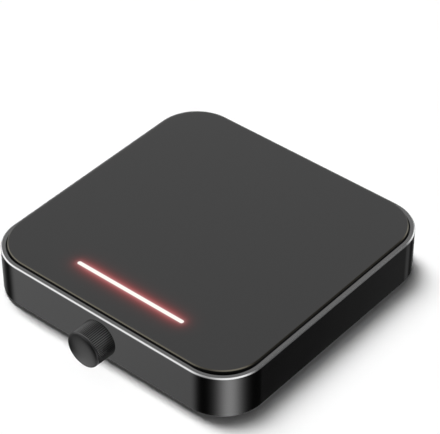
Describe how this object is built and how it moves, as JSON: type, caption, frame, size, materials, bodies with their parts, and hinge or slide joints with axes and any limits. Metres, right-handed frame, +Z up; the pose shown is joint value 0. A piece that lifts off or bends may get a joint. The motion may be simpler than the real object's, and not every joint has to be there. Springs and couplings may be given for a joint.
{
  "type": "electric mug warmer",
  "caption": "Square low electric mug warmer with a black glass top, a light bar, a metal frame and a knurled push-and-turn knob.",
  "frame": {"origin": "centre of the square body's footprint, on the surface the four feet stand on", "axes": "+Z up; -Y is the front, the side with the knob; +X to the right seen from the front"},
  "size_m": [0.13, 0.1415, 0.023],
  "materials": {
    "casing_black": "satin black anodised aluminium, fine blasted grain",
    "black_glass": "polished, printed black on the underside",
    "gasket_rubber": "matt black silicone",
    "cover_plastic": "fine spark-eroded black",
    "foot_rubber": "matt dark grey silicone",
    "screw_steel": "black zinc",
    "spreader_aluminium": "rolled",
    "heater_foil": "etched foil",
    "heater_film": "amber polyimide",
    "insulation": "ceramic fibre felt",
    "pressed_steel": "bright zinc",
    "sensor_epoxy": "epoxy bead",
    "fuse_case": "ceramic sleeve",
    "diffuser_acrylic": "frosted",
    "light_box_plastic": "white",
    "board_fibreglass": "solder resist",
    "led_package": "phosphor lens",
    "chip_epoxy": "moulded",
    "capacitor_can": "sleeved can",
    "connector_nylon": "natural nylon",
    "lead_insulation": "silicone lead",
    "encoder_plastic": "moulded",
    "encoder_metal": "bright",
    "contact_brass": "tinned",
    "knob_black": "satin black anodised aluminium, knurled",
    "jack_black": "moulded",
    "jack_metal": "nickel plated"
  },
  "bodies": {
    "root": {"housing": "casing_black", "glass_top": "black_glass", "glass_gasket": "gasket_rubber", "bottom_cover": "cover_plastic", "foot_front_left": "foot_rubber", "foot_front_right": "foot_rubber", "foot_rear_left": "foot_rubber", "foot_rear_right": "foot_rubber", "cover_screws": "screw_steel", "heat_spreader": "spreader_aluminium", "heater_element": "heater_foil", "heater_film": "heater_film", "insulation_pad": "insulation", "heater_retainer": "pressed_steel", "retainer_screws": "screw_steel", "thermistor": "sensor_epoxy", "thermal_fuse": "fuse_case", "light_diffuser": "diffuser_acrylic", "light_box": "light_box_plastic", "led_board": "board_fibreglass", "leds": "led_package", "led_header": "chip_epoxy", "control_board": "board_fibreglass", "board_screws": "screw_steel", "controller_chip": "chip_epoxy", "heater_switch": "chip_epoxy", "capacitors": "capacitor_can", "inductor": "chip_epoxy", "board_sockets": "connector_nylon", "lead_plugs": "connector_nylon", "heater_leads": "lead_insulation", "sensor_leads": "lead_insulation", "fuse_leads": "lead_insulation", "power_leads": "lead_insulation", "encoder_frame": "encoder_metal", "encoder_body": "encoder_plastic", "encoder_bush": "encoder_metal", "encoder_washer": "encoder_metal", "encoder_nut": "encoder_metal", "detent_spring": "encoder_metal", "switch_dome": "encoder_metal", "encoder_terminals": "contact_brass", "jack_shell": "jack_metal", "jack_nut": "jack_metal", "jack_insulator": "jack_black", "jack_pin": "contact_brass", "jack_contact": "contact_brass"},
    "encoder_rotor": {"encoder_rotor": "encoder_plastic"},
    "knob": {"encoder_shaft": "encoder_metal", "knob_shell": "knob_black", "knob_core": "encoder_plastic"}
  },
  "joints": [
    {"name": "knob_turn", "type": "hinge", "parent": "root", "child": "encoder_rotor", "pos_m": [0, -0.065, 0.01145], "axis": [0, -1, 0], "continuous": true},
    {"name": "knob_push", "type": "slide", "parent": "encoder_rotor", "child": "knob", "axis": [0, 1, 0], "range_m": [0, 0.0003], "stiffness_N_per_m": 5000, "springref_m": -0.0004, "deforming": ["switch_dome"]}
  ]
}
